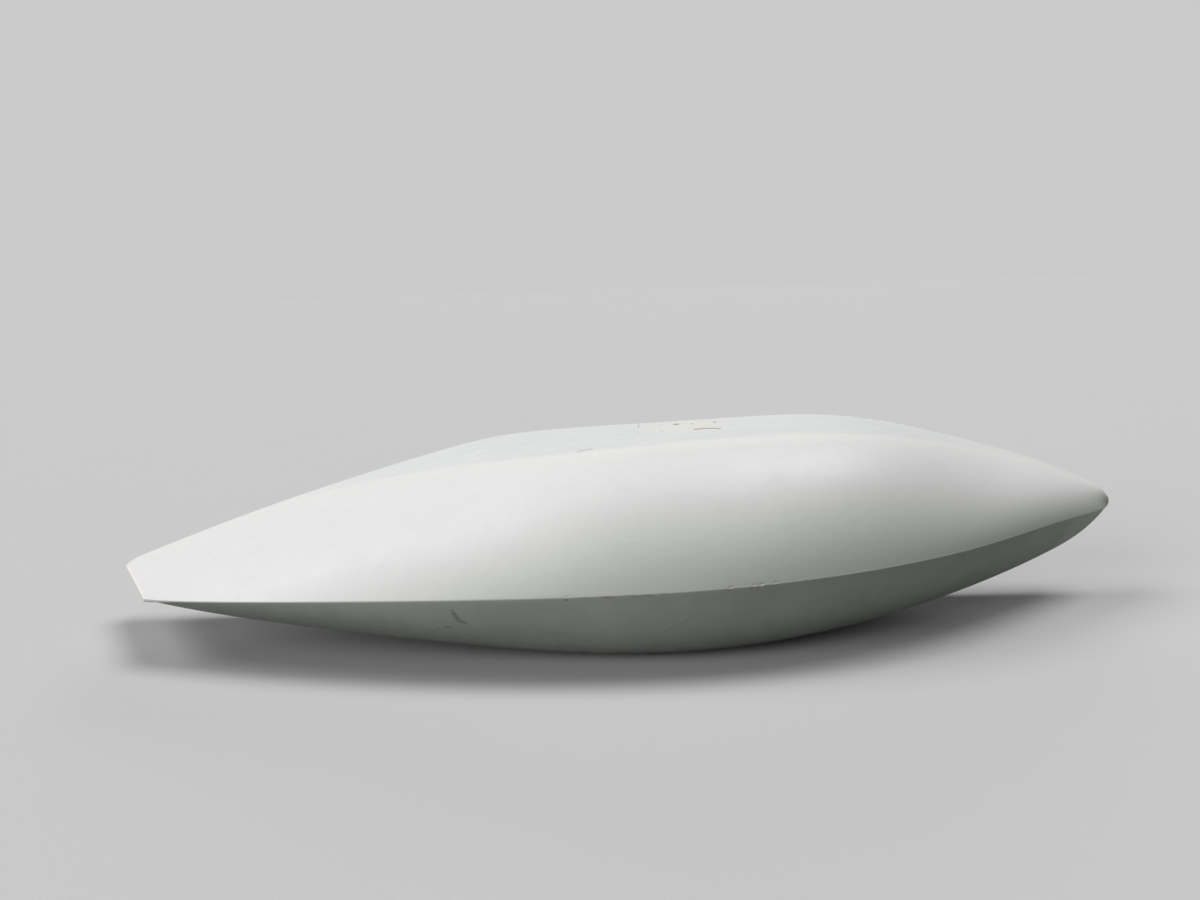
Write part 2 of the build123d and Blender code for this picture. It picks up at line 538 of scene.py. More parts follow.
    def strands(self, place: float, side: Side) -> list[Strand]:
        """Draw one section, from the foot of the rim round to its top.

        Args:
            place: Where the section stands, 0 at the tail and 1 at the nose.
            side: Which face of the laminate is drawn.

        Returns:
            The section's stretches, not yet trimmed at the rim.
        """
        at = self.corners(place)
        crown = math.radians(self.top_crown)
        inset = 0.0
        if side is Side.INNER:
            inset = self.wall
            at.draw_in(inset, crown)
        rim = go(at.rim, self.past_rim, at.rise - crown)
        rim = (rim[0], rim[1] - inset)
        sole = (at.sole[0] + self.past_rim, at.sole[1] + inset)
        soft = min(
            self.shoulder_round,
            self.shoulder_of_top * (rim[0] - at.crest[0]),
            self.shoulder_of_room * (self.back - at.crest[0]),
        )
        before = go(at.crest, -soft, at.arrive)
        after = go(at.crest, soft, at.rise + crown)
        blunt = (at.upper[0] - self.chine_blunt * at.half, at.middle)
        belly = self.curve(
            at.turned, at.flatten + math.pi, at.dive + math.pi, at.lower
        )
        face = self.curve(at.upper, at.leave, at.arrive, before)
        roof = self.curve(after, at.rise + crown, at.rise - crown, rim)
        return [
            Strand([sole, at.turned], self.sole_steps),
            Strand(belly, self.belly_steps, crowd_end=self.belly_crowding),
            Strand([at.lower, blunt, at.upper], self.chine_steps),
            Strand(face, self.face_steps, crowd_start=self.face_crowding),
            Strand([before, at.crest, after], self.shoulder_steps),
            Strand(roof, self.top_steps),
        ]

    def ring(self, place: float, side: Side, shift: Vector) -> Ring:
        """Return one section in place, from the foot of the rim round to its top.

        Args:
            place: Where the section stands, 0 at the tail and 1 at the nose.
            side: Which face of the laminate is drawn.
            shift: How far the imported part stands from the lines.

        Returns:
            The section's points in place, with their traits.
        """
        outer = side is Side.OUTER
        strands = self.strands(place, side)
        row = [point for strand in strands for point in strand.points(self.back)]
        chine_at = self.sole_steps + self.belly_steps + self.chine_steps // 2
        if outer:
            row = self.rounded_ends(row)
            chine_at += 2
        crest_at = chine_at + self.chine_steps // 2 + self.face_steps
        crest_at += self.shoulder_steps // 2
        girth = [0.0]
        for a, b in zip(row, row[1:]):
            girth.append(girth[-1] + math.dist(a, b))
        sweep = self.swept(place)
        across = self.back - self.chine_across(place + sweep / self.length)
        along = (place - 0.5) * self.length + shift.x
        knocked = sum(nick.depth_at(along + sweep) for nick in self.nicks)
        thinned = self.thinned(place) if outer else 0.0
        points = []
        for i, (y, z) in enumerate(row):
            x = along + sweep * (self.back - y) / across
            above = i - chine_at
            if outer and 0 <= above < len(self.nick_back):
                y += knocked * self.nick_back[above]
                z -= knocked * self.nick_down[above]
            z -= thinned * min(max(above / 2.0, -1.0), 1.0)
            points.append((x, y, z + shift.z))
        return Ring(points, {
            Trait.INSIDE: [side.value] * len(points),
            Trait.GIRTH: girth,
            Trait.SHOULDER: [abs(g - girth[crest_at]) for g in girth],
            Trait.CHINE: [g - girth[chine_at] for g in girth],
            Trait.AFT: [place * self.length] * len(points),
        })

    def thinned(self, place: float) -> float:
        """Return how much each face is drawn in by the rounded trailing edge."""
        left = max(0.0, self.edge_round - place * self.length)
        return self.edge_round - math.sqrt(self.edge_round**2 - left**2)

    def rounded_ends(self, row: list[Pair]) -> list[Pair]:
        """Round a section's two ends, where the rim has been trimmed.

        Args:
            row: The section's points, from the foot of the rim to its top.

        Returns:
            The points, each end now three points of a small rounding.
        """
        room = min(math.dist(row[0], row[1]), math.dist(row[-1], row[-2]))
        radius = min(
            self.edge_round,
            self.edge_of_thickness * math.dist(row[0], row[-1]),
            self.edge_of_room * room,
        )
        bulge = self.edge_bulge * radius
        ends = []
        for end, inward in ((row[0], row[1]), (row[-1], row[-2])):
            back_in = slope(end, inward)
            down = math.copysign(QUARTER, row[-1][1] - row[0][1])
            down = down if end is row[0] else -down
            near = go(end, radius, back_in)
            far = go(end, radius, down)
            bend = go(go(end, bulge, back_in), bulge, down)
            ends.append([far, bend, near])
        return ends[0] + row[1:-1] + ends[1][::-1]

    def places(self, side: Side) -> list[float]:
        """Choose where the sections of a face stand, closer where detail is.

        Args:
            side: Which face of the laminate is skinned.

        Returns:
            The places, from tail to nose.
        """
        turns = [math.pi * i / self.stations for i in range(self.stations + 1)]
        shares = [(1.0 - math.cos(turn)) / 2.0 for turn in turns]
        for start, end, steps in (self.chipped, self.dotted):
            shares += [mixed(start, end, i / steps) for i in range(steps + 1)]
        shares += [self.edge_round / self.length * share for share in self.edge_shares]
        first, last = 0.0, 1.0 - self.nose_dressed / self.length
        if side is Side.INNER:
            first = self.tail_bond / self.length
            last = 1.0 - self.nose_bond / self.length
        return [mixed(first, last, share) for share in sorted(set(shares))]


@dataclass
class ShellSkin:
    """The visible shell: an outer and an inner skin joined along the rim."""

    form: ShellForm = field(default_factory=ShellForm)
    tail_round: float = 10.0 * MM
    tail_cuts: int = 9
    smooth_below: float = 32.0

    def shift(self) -> Vector:
        """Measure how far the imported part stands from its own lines.

        Returns:
            The move from the lines to the part.
        """
        low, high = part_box(NODE)
        tip = self.form.length / 2.0 - self.form.nose_dressed
        floor = min(
            point[2]
            for place in self.form.places(Side.OUTER)
            for point in self.form.ring(place, Side.OUTER, Vector()).points
        )
        return Vector((high.x - tip, 0.0, low.z - floor))

    def sheet(self, name: str, side: Side, shift: Vector) -> bpy.types.Object:
        """Skin one face of the laminate by drawing out its first section.

        Args:
            name: The name of the new object.
            side: Which face of the laminate it is.
            shift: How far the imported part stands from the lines.

        Returns:
            The skin, capped at its two ends, with its traits on its points.
        """
        rings = [self.form.ring(p, side, shift) for p in self.form.places(side)]
        count = len(rings[0].points)
        clear_selection()
        bpy.ops.mesh.primitive_circle_add(vertices=count, radius=self.form.depth)
        skin = bpy.context.object
        skin.name = skin.data.name = name
        bpy.ops.object.mode_set(mode="EDIT")
        bpy.ops.mesh.select_mode(type="EDGE")
        shape = editing(skin)
        ends = {shape.verts[0], shape.verts[count - 1]}
        for edge in shape.edges:
            edge.select_set(set(edge.verts) == ends)
        bmesh.update_edit_mesh(skin.data)
        bpy.ops.mesh.delete(type="EDGE")
        bpy.ops.mesh.select_all(action="SELECT")
        rows = [list(range(count))]
        self.place_row(skin, rows[0], rings[0])
        for ring in rings[1:]:
            bpy.ops.mesh.extrude_edges_move()
            rows.append(self.drawn_row(skin, rows[-1], count * len(rows)))
            self.place_row(skin, rows[-1], ring)
        self.cap(skin, rows[0])
        self.cap(skin, rows[-1])
        bpy.ops.object.mode_set(mode="OBJECT")
        self.remember(skin, rows, rings)
        return skin

    def drawn_row(
        self, skin: bpy.types.Object, row: Sequence[int], known: int
    ) -> list[int]:
        """Return the points drawn out of a row, in the row's own order.

        Args:
            skin: The skin, in edit mode.
            row: The points that were drawn out.
            known: How many points there were before.

        Returns:
            The numbers of the new points.
        """
        shape = editing(skin)
        shape.verts.index_update()
        return [
            edge.other_vert(shape.verts[i]).index
            for i in row
            for edge in shape.verts[i].link_edges
            if edge.other_vert(shape.verts[i]).index >= known
        ]

    def place_row(self, skin: bpy.types.Object, row: list[int], ring: Ring) -> None:
        """Move a row of points onto its section.

        Args:
            skin: The skin, in edit mode.
            row: The numbers of the points.
            ring: The section.
        """
        shape = editing(skin)
        for i, point in zip(row, ring.points):
            shape.verts[i].co = point
        bmesh.update_edit_mesh(skin.data)

    def cap(self, skin: bpy.types.Object, row: Sequence[int]) -> None:
        """Close one end of a skin with a flat face.

        Args:
            skin: The skin, in edit mode.
            row: The numbers of the points of that end.
        """
        wanted = set(row)
        bpy.ops.mesh.select_all(action="DESELECT")
        shape = editing(skin)
        for edge in shape.edges:
            if all(vertex.index in wanted for vertex in edge.verts):
                edge.select_set(True)
        bmesh.update_edit_mesh(skin.data)
        bpy.ops.mesh.edge_face_add()

    def remember(
        self,
        skin: bpy.types.Object,
        rows: Sequence[Sequence[int]],
        rings: Sequence[Ring],
    ) -> None:
        """Write each point's traits into the mesh.

        Args:
            skin: The skin, in object mode.
            rows: The numbers of the points of each section.
            rings: The sections.
        """
        for trait in Trait:
            values = [0.0] * len(skin.data.vertices)
            for row, ring in zip(rows, rings):
                for i, value in zip(row, ring.traits[trait]):
                    values[i] = value
            layer = skin.data.attributes.new(trait.value, "FLOAT", "POINT")
            layer.data.foreach_set("value", values)

    def close_rim(self, shell: bpy.types.Object) -> None:
        """Bridge the two skins along the rim and turn every face outwards.

        Args:
            shell: The joined skins.
        """
        bpy.ops.object.mode_set(mode="EDIT")
        bpy.ops.mesh.select_mode(type="EDGE")
        for upper in (True, False):
            self.pick_rim(shell, upper)
            bpy.ops.mesh.bridge_edge_loops()
        bpy.ops.mesh.select_all(action="SELECT")
        bpy.ops.mesh.fill_holes(sides=0)
        bpy.ops.mesh.select_all(action="SELECT")
        bpy.ops.mesh.normals_make_consistent(inside=False)
        bpy.ops.object.mode_set(mode="OBJECT")

    def pick_rim(self, shell: bpy.types.Object, upper: bool) -> None:
        """Select the open edges that run along one half of the rim.

        Args:
            shell: The joined skins, in edit mode.
            upper: Whether the upper half is wanted, or else the lower one.
        """
        bpy.ops.mesh.select_all(action="DESELECT")
        shape = editing(shell)
        girth = shape.verts.layers.float[Trait.GIRTH.value]
        for edge in shape.edges:
            at_top = all(vertex[girth] > 0.0 for vertex in edge.verts)
            at_foot = all(vertex[girth] == 0.0 for vertex in edge.verts)
            edge.select_set(edge.is_boundary and (at_top if upper else at_foot))
        bmesh.update_edit_mesh(shell.data)

    def round_tail(self, shift: Vector) -> None:
        """Dress the sharp inner corner of the tail round, cut by cut.

        Args:
            shift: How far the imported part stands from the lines.
        """
        form = self.form
        tip = (shift.x - form.length / 2.0, form.back)
        end = form.chine_across(form.tail_sweep / form.length)
        rake = slope(tip, (tip[0] + form.tail_sweep, end))
        centre = go(tip, self.tail_round / math.sin(-rake / 2.0), rake / 2.0)
        first, last = rake - QUARTER, -3.0 * QUARTER
        reach = self.tail_round * math.cos((first - last) / (2.0 * self.tail_cuts))
        bpy.ops.object.mode_set(mode="EDIT")
        for i in range(self.tail_cuts):
            way = mixed(first, last, (i + 0.5) / self.tail_cuts)
            spot = go(centre, reach, way)
            bpy.ops.mesh.select_all(action="SELECT")
            bpy.ops.mesh.bisect(
                plane_co=(spot[0], spot[1], 0.0),
                plane_no=(math.cos(way), math.sin(way), 0.0),
                use_fill=True, clear_outer=True, clear_inner=False,
            )
        bpy.ops.object.mode_set(mode="OBJECT")

    def hold_size(self, shell: bpy.types.Object) -> None:
        """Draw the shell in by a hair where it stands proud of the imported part.

        Args:
            shell: The closed shell.
        """
        low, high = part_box(NODE)
        rows = [[v.co[axis] for v in shell.data.vertices] for axis in range(3)]
        sizes = [max(row) - min(row) for row in rows]
        held = [min(1.0, (high - low)[axis] / sizes[axis]) for axis in range(3)]
        bpy.ops.object.mode_set(mode="EDIT")
        bpy.ops.mesh.select_all(action="SELECT")
        bpy.ops.transform.resize(
            value=held, center_override=(high.x, self.form.back, low.z),
        )
        bpy.ops.object.mode_set(mode="OBJECT")

    def build(self) -> bpy.types.Object:
        """Make the closed shell.

        Returns:
            The finished mesh, at the origin.
        """
        shift = self.shift()
        outer = self.sheet("shell_skin", Side.OUTER, shift)
        inner = self.sheet("inner_skin", Side.INNER, shift)
        take(outer)
        inner.select_set(True)
        bpy.ops.object.join()
        self.close_rim(outer)
        self.round_tail(shift)
        self.hold_size(outer)
        bpy.ops.object.transform_apply(location=True, rotation=True, scale=True)
        bpy.ops.object.shade_smooth_by_angle(angle=math.radians(self.smooth_below))
        return outer


def by_node(operation: str) -> Callable[["Term", "Term | float"], "Term"]:
    """Make one of Python's operators add a Math node.

    Args:
        operation: What the node does.

    Returns:
        The operator's method.
    """

    def work(first: "Term", second: "Term | float") -> "Term":
        """Return what the node makes of the two values."""
        return first.board.sum_up(operation, first, second)

    return work


class Term:
    """One value of a shader, which Python's operators work on."""

    def __init__(self, board: "Board", socket: bpy.types.NodeSocket) -> None:
        """Wrap a node's output.

        Args:
            board: The board that the node stands on.
            socket: The output.
        """
        self.board = board
        self.socket = socket

    def __rsub__(self, other: float) -> "Term":
        """Return a number less this value."""
        return self.board.sum_up("SUBTRACT", other, self)

    __add__ = __radd__ = by_node("ADD")
    __sub__ = by_node("SUBTRACT")
    __mul__ = __rmul__ = by_node("MULTIPLY")
    __truediv__ = by_node("DIVIDE")
    __pow__ = by_node("POWER")


Value = Term | float | int | tuple


class Board:
    """The nodes of one material, or of the room."""

    def __init__(self, owner: bpy.types.Material | bpy.types.World) -> None:
        """Start with no node.

        Args:
            owner: The material or the room.
        """
        owner.use_nodes = True
        self.owner = owner
        self.tree = owner.node_tree
        self.tree.nodes.clear()

    def node(
        self, kind: str, settings: dict[str, object], **inputs: Value
    ) -> bpy.types.Node:
        """Add a node.

        Args:
            kind: The node's type, without its common start.
            settings: Settings of the node.
            **inputs: Socket names, with spaces as underscores, or i0, i1 and so on.

        Returns:
            The node.
        """
        made = self.tree.nodes.new("ShaderNode" + kind)
        for key, value in settings.items():
            setattr(made, key, value)
        for key, value in inputs.items():
            numbered = key[0] == "i" and key[1:].isdigit()
            socket = made.inputs[int(key[1:]) if numbered else key.replace("_", " ")]
            if isinstance(value, Term):
                self.tree.links.new(value.socket, socket)
            elif isinstance(value, tuple) and len(socket.default_value) == 4:
                socket.default_value = (*value[:3], 1.0)
            else:
                socket.default_value = value
        return made

    def out(self, made: bpy.types.Node, name: str | int = 0) -> Term:
        """Return a node's output."""
        return Term(self, made.outputs[name])

    def sum_up(self, operation: str, *values: Value) -> Term:
        """Return what a Math node makes of its values."""
        inputs = {f"i{i}": value for i, value in enumerate(values)}
        return self.out(self.node("Math", {"operation": operation}, **inputs))

    def fold(self, operation: str, values: Sequence[Term]) -> Term:
        """Work through a row of values with Math nodes, one after another.

        Args:
            operation: What each node does, such as MAXIMUM.
            values: The values.

        Returns:
            What is left at the end.
        """
        made = values[0]
        for value in values[1:]:
            made = self.sum_up(operation, made, value)
        return made

    def vector(self, operation: str, *values: Value, name: str = "Vector") -> Term:
        """Work with a Vector Math node.

        Args:
            operation: What the node does.
            *values: Its values, in the order of its sockets.
            name: Which output is wanted.

        Returns:
            The output.
        """
        inputs = {f"i{i}": value for i, value in enumerate(values)}
        made = self.node("VectorMath", {"operation": operation}, **inputs)
        return self.out(made, name)

    def blend(self, share: Value, first: Value, second: Value) -> Term:
        """Mix two colours.

        Args:
            share: How much of the second colour shows, from 0 to 1.
            first: The first colour.
            second: The second colour.

        Returns:
            The mixed colour.
        """
        made = self.node(
            "Mix", {"data_type": "RGBA", "clamp_factor": True},
            i0=share, i6=first, i7=second,
        )
        return self.out(made, 2)

    def lay(self, colour: Value, layers: Sequence[tuple[Value, Value]]) -> Value:
        """Lay colours over each other.

        Args:
            colour: The lowest colour.
            layers: The others from below, each after the share of it that shows.

        Returns:
            The colour that is seen.
        """
        for share, over in layers:
            colour = self.blend(share, colour, over)
        return colour

    def ease(self, value: Value, start: float, end: float) -> Term:
        """Rise softly from 0 to 1 over a range.

        Args:
            value: The value that is watched.
            start: Where the rise begins.
            end: Where it is over, which may be below the start.

        Returns:
            The risen share.
        """
        made = self.node(
            "MapRange", {"interpolation_type": "SMOOTHSTEP", "clamp": True},
            Value=value, From_Min=start, From_Max=end, To_Min=0.0, To_Max=1.0,
        )
        return self.out(made, "Result")

    def dress(self, **inputs: Value) -> bpy.types.Material:
        """End a material with its shader.

        Args:
            **inputs: The shader's sockets, named as for a node.

        Returns:
            The material.
        """
        shader = self.node("BsdfPrincipled", {}, **inputs)
        self.node("OutputMaterial", {}, Surface=self.out(shader))
        return self.owner

    def trait(self, trait: Trait) -> Term:
        """Return what the points of the skin remember."""
        made = self.node("Attribute", {"attribute_name": trait.value})
        return self.out(made, "Fac")

    @cached_property
    def where(self) -> Term:
        """The place on the object, in metres."""
        return self.out(self.node("TexCoord", {}), "Object")

    def stretched(self, where: Term, scale: Point) -> Term:
        """Return coordinates stretched along the axes."""
        return self.vector("MULTIPLY", where, scale)

    def axes(self, vector: Term) -> list[Term]:
        """Return a vector's three parts."""
        parts = self.node("SeparateXYZ", {}, Vector=vector)
        return [self.out(parts, axis) for axis in range(3)]

    def looked_at(self, *rays: str) -> Term:
        """Return 1 for the named kinds of ray, such as Camera, and 0 for others."""
        path = self.node("LightPath", {})
        return self.fold("MAXIMUM", [self.out(path, f"Is {ray} Ray") for ray in rays])


@dataclass(frozen=True)
class Clouding:
    """Cloudy noise, and where it is cut off to make soft patches or streaks.

    The scale says how many clouds fit in a metre, and the detail how many finer
    layers lie over them.
    """

    scale: float
    detail: float
    shows: Pair = (0.0, 1.0)
    strength: float = 1.0
    stretch: Point = (1.0, 1.0, 1.0)
    roughness: float = 0.55

    def noise(self, board: Board) -> Term:
        """Make the noise itself.

        Args:
            board: The board to draw on.

        Returns:
            The noise, around one half.
        """
        made = board.node(
            "TexNoise", {"noise_dimensions": "3D"},
            Vector=board.stretched(board.where, self.stretch), Scale=self.scale,
            Detail=self.detail, Roughness=self.roughness,
        )
        return board.out(made, "Fac")

    def mask(self, board: Board) -> Term:
        """Return how much of each patch shows, 0 between the patches."""
        return board.ease(self.noise(board), *self.shows) * self.strength


@dataclass(frozen=True)
class Coat:
    """A colour that lies over others, and where and how much of it shows."""

    colour: Colour
    share: float
    shows: Pair

    def over(self, board: Board, value: Term, *within: Term) -> tuple[Term, Colour]:
        """Let the coat show as a value rises, or falls, through its range.

        Args:
            board: The board to draw on.
            value: The value.
            *within: Masks that hold the coat in.

        Returns:
            How much of the coat shows, and its colour.
        """
        shows = board.ease(value, *self.shows) * self.share
        return board.fold("MULTIPLY", [shows, *within]), self.colour


@dataclass(frozen=True)
class Stroke:
    """A mark on the paint that follows a line of points."""

    points: tuple[Point, ...]
    width: float
    colour: Colour
    strength: float
    squash: Point = (1.0, 1.0, 1.0)
    soft: float = 0.5
    raggedness: float = 1.6

    def off_stretch(
        self, board: Board, place: Term, start: Vector, end: Vector
    ) -> Term:
        """Measure how far a place is from one straight stretch of the line.

        Args:
            board: The board to draw on.
            place: The place.
            start: Where the stretch starts.
            end: Where it ends.

        Returns:
            The distance.
        """
        way = end - start
        off_start = board.vector("SUBTRACT", place, tuple(start))
        unit = tuple(way / way.length_squared)
        along = board.vector("DOT_PRODUCT", off_start, unit, name="Value")
        held = board.sum_up("MINIMUM", board.sum_up("MAXIMUM", along, 0.0), 1.0)
        reached = board.node(
            "VectorMath", {"operation": "SCALE"}, i0=tuple(way), Scale=held
        )
        return board.vector("DISTANCE", off_start, board.out(reached), name="Value")

    def mask(self, board: Board, ragged: Term) -> Term:
        """Return 1 in the mark and 0 away from it.

        Args:
            board: The board to draw on.
            ragged: Noise around zero that roughens the mark's edge.

        Returns:
            The mark's mask, at its strength.
        """
        place = board.stretched(board.where, self.squash)
        corners = [Vector(a * b for a, b in zip(p, self.squash)) for p in self.points]
        if len(corners) == 1:
            near = board.vector("DISTANCE", place, tuple(corners[0]), name="Value")
        else:
            near = board.fold("MINIMUM", [
                self.off_stretch(board, place, start, end)
                for start, end in zip(corners, corners[1:])
            ])
        near = near + ragged * (self.width * self.raggedness)
        inner, outer = self.width * (1.0 - self.soft), self.width * (1.0 + self.soft)
        return (1.0 - board.ease(near, inner, outer)) * self.strength


UMBER: Colour = (0.105, 0.066, 0.040)
RUST: Colour = (0.200, 0.105, 0.066)
SOOT: Colour = (0.060, 0.062, 0.060)
GREY: Colour = (0.33, 0.34, 0.33)
FILLER: Colour = (0.90, 0.90, 0.88)
TAN: Colour = (0.66, 0.53, 0.43)
FLAT: Point = (1.0, 0.28, 0.02)
UPRIGHT: Point = (1.0, 1.0, 0.02)
SHALLOW: Point = (1.0, 0.15, 1.0)


@dataclass(frozen=True)
class ClothFinish:
    """Bare woven glass cloth, set in resin."""

    light: Colour = (0.74, 0.725, 0.63)
    dark: Colour = (0.62, 0.605, 0.50)
    warp_tow: Colour = (0.82, 0.81, 0.73)
    gap: Colour = (0.38, 0.36, 0.26)
    fibre: Coat = Coat((0.83, 0.81, 0.72), 0.30, (0.45, 0.75))
    milk: Colour = (0.80, 0.79, 0.72)
    warp_share: float = 0.30
    gap_share: float = 0.55
    tow_width: float = 5.0 * MM
    tow_round: float = 0.6
    tow_edge: Pair = (-0.12, 0.12)
    tow_relief: float = 0.9
    fibre_relief: float = 0.4
    waver: float = 10.0 * MM
    roughness: float = 0.62
    wet_gloss: float = 0.26
    wavering: Clouding = Clouding(9.0, 2.0)
    warp_fibres: Clouding = Clouding(1.0, 3.0, stretch=(120.0, 2600.0, 2600.0))
    weft_fibres: Clouding = Clouding(1.0, 3.0, stretch=(2600.0, 120.0, 120.0))
    resin: Clouding = Clouding(22.0, 5.0, (0.35, 0.68))
    milky: Clouding = Clouding(60.0, 5.0, (0.60, 0.72), 0.5)
    wet: Clouding = Clouding(26.0, 3.0, (0.44, 0.60))

    def build(self, board: Board) -> tuple[Term, Term, Term]:
        """Lay the cloth, its warp along the shell and its weft round it.

        Args:
            board: The board to draw on.

        Returns:
            The colour, the height of the weave and the roughness.
        """
        drift = (self.wavering.noise(board) - 0.5) * self.waver
        turn = math.pi / self.tow_width
        warp, weft = [
            board.sum_up("SINE", (place + drift) * turn)
            for place in (board.axes(board.where)[0], board.trait(Trait.GIRTH))
        ]
        over = board.ease(warp * weft, *self.tow_edge)
        under = 1.0 - over
        along = board.sum_up("ABSOLUTE", weft) ** self.tow_round
        across = board.sum_up("ABSOLUTE", warp) ** self.tow_round
        tow = over * along + under * across
        fibres = over * self.warp_fibres.noise(board)
        fibres = fibres + under * self.weft_fibres.noise(board)
        colour = board.lay(self.dark, [
            (self.resin.mask(board), self.light),
            (over * self.warp_share, self.warp_tow),
            ((1.0 - tow) * self.gap_share, self.gap),
            self.fibre.over(board, fibres),
            (self.milky.mask(board), self.milk),
        ])
        relief = tow * self.tow_relief + fibres * self.fibre_relief
        wet = self.wet.mask(board)
        return colour, relief, self.roughness - wet * self.wet_gloss


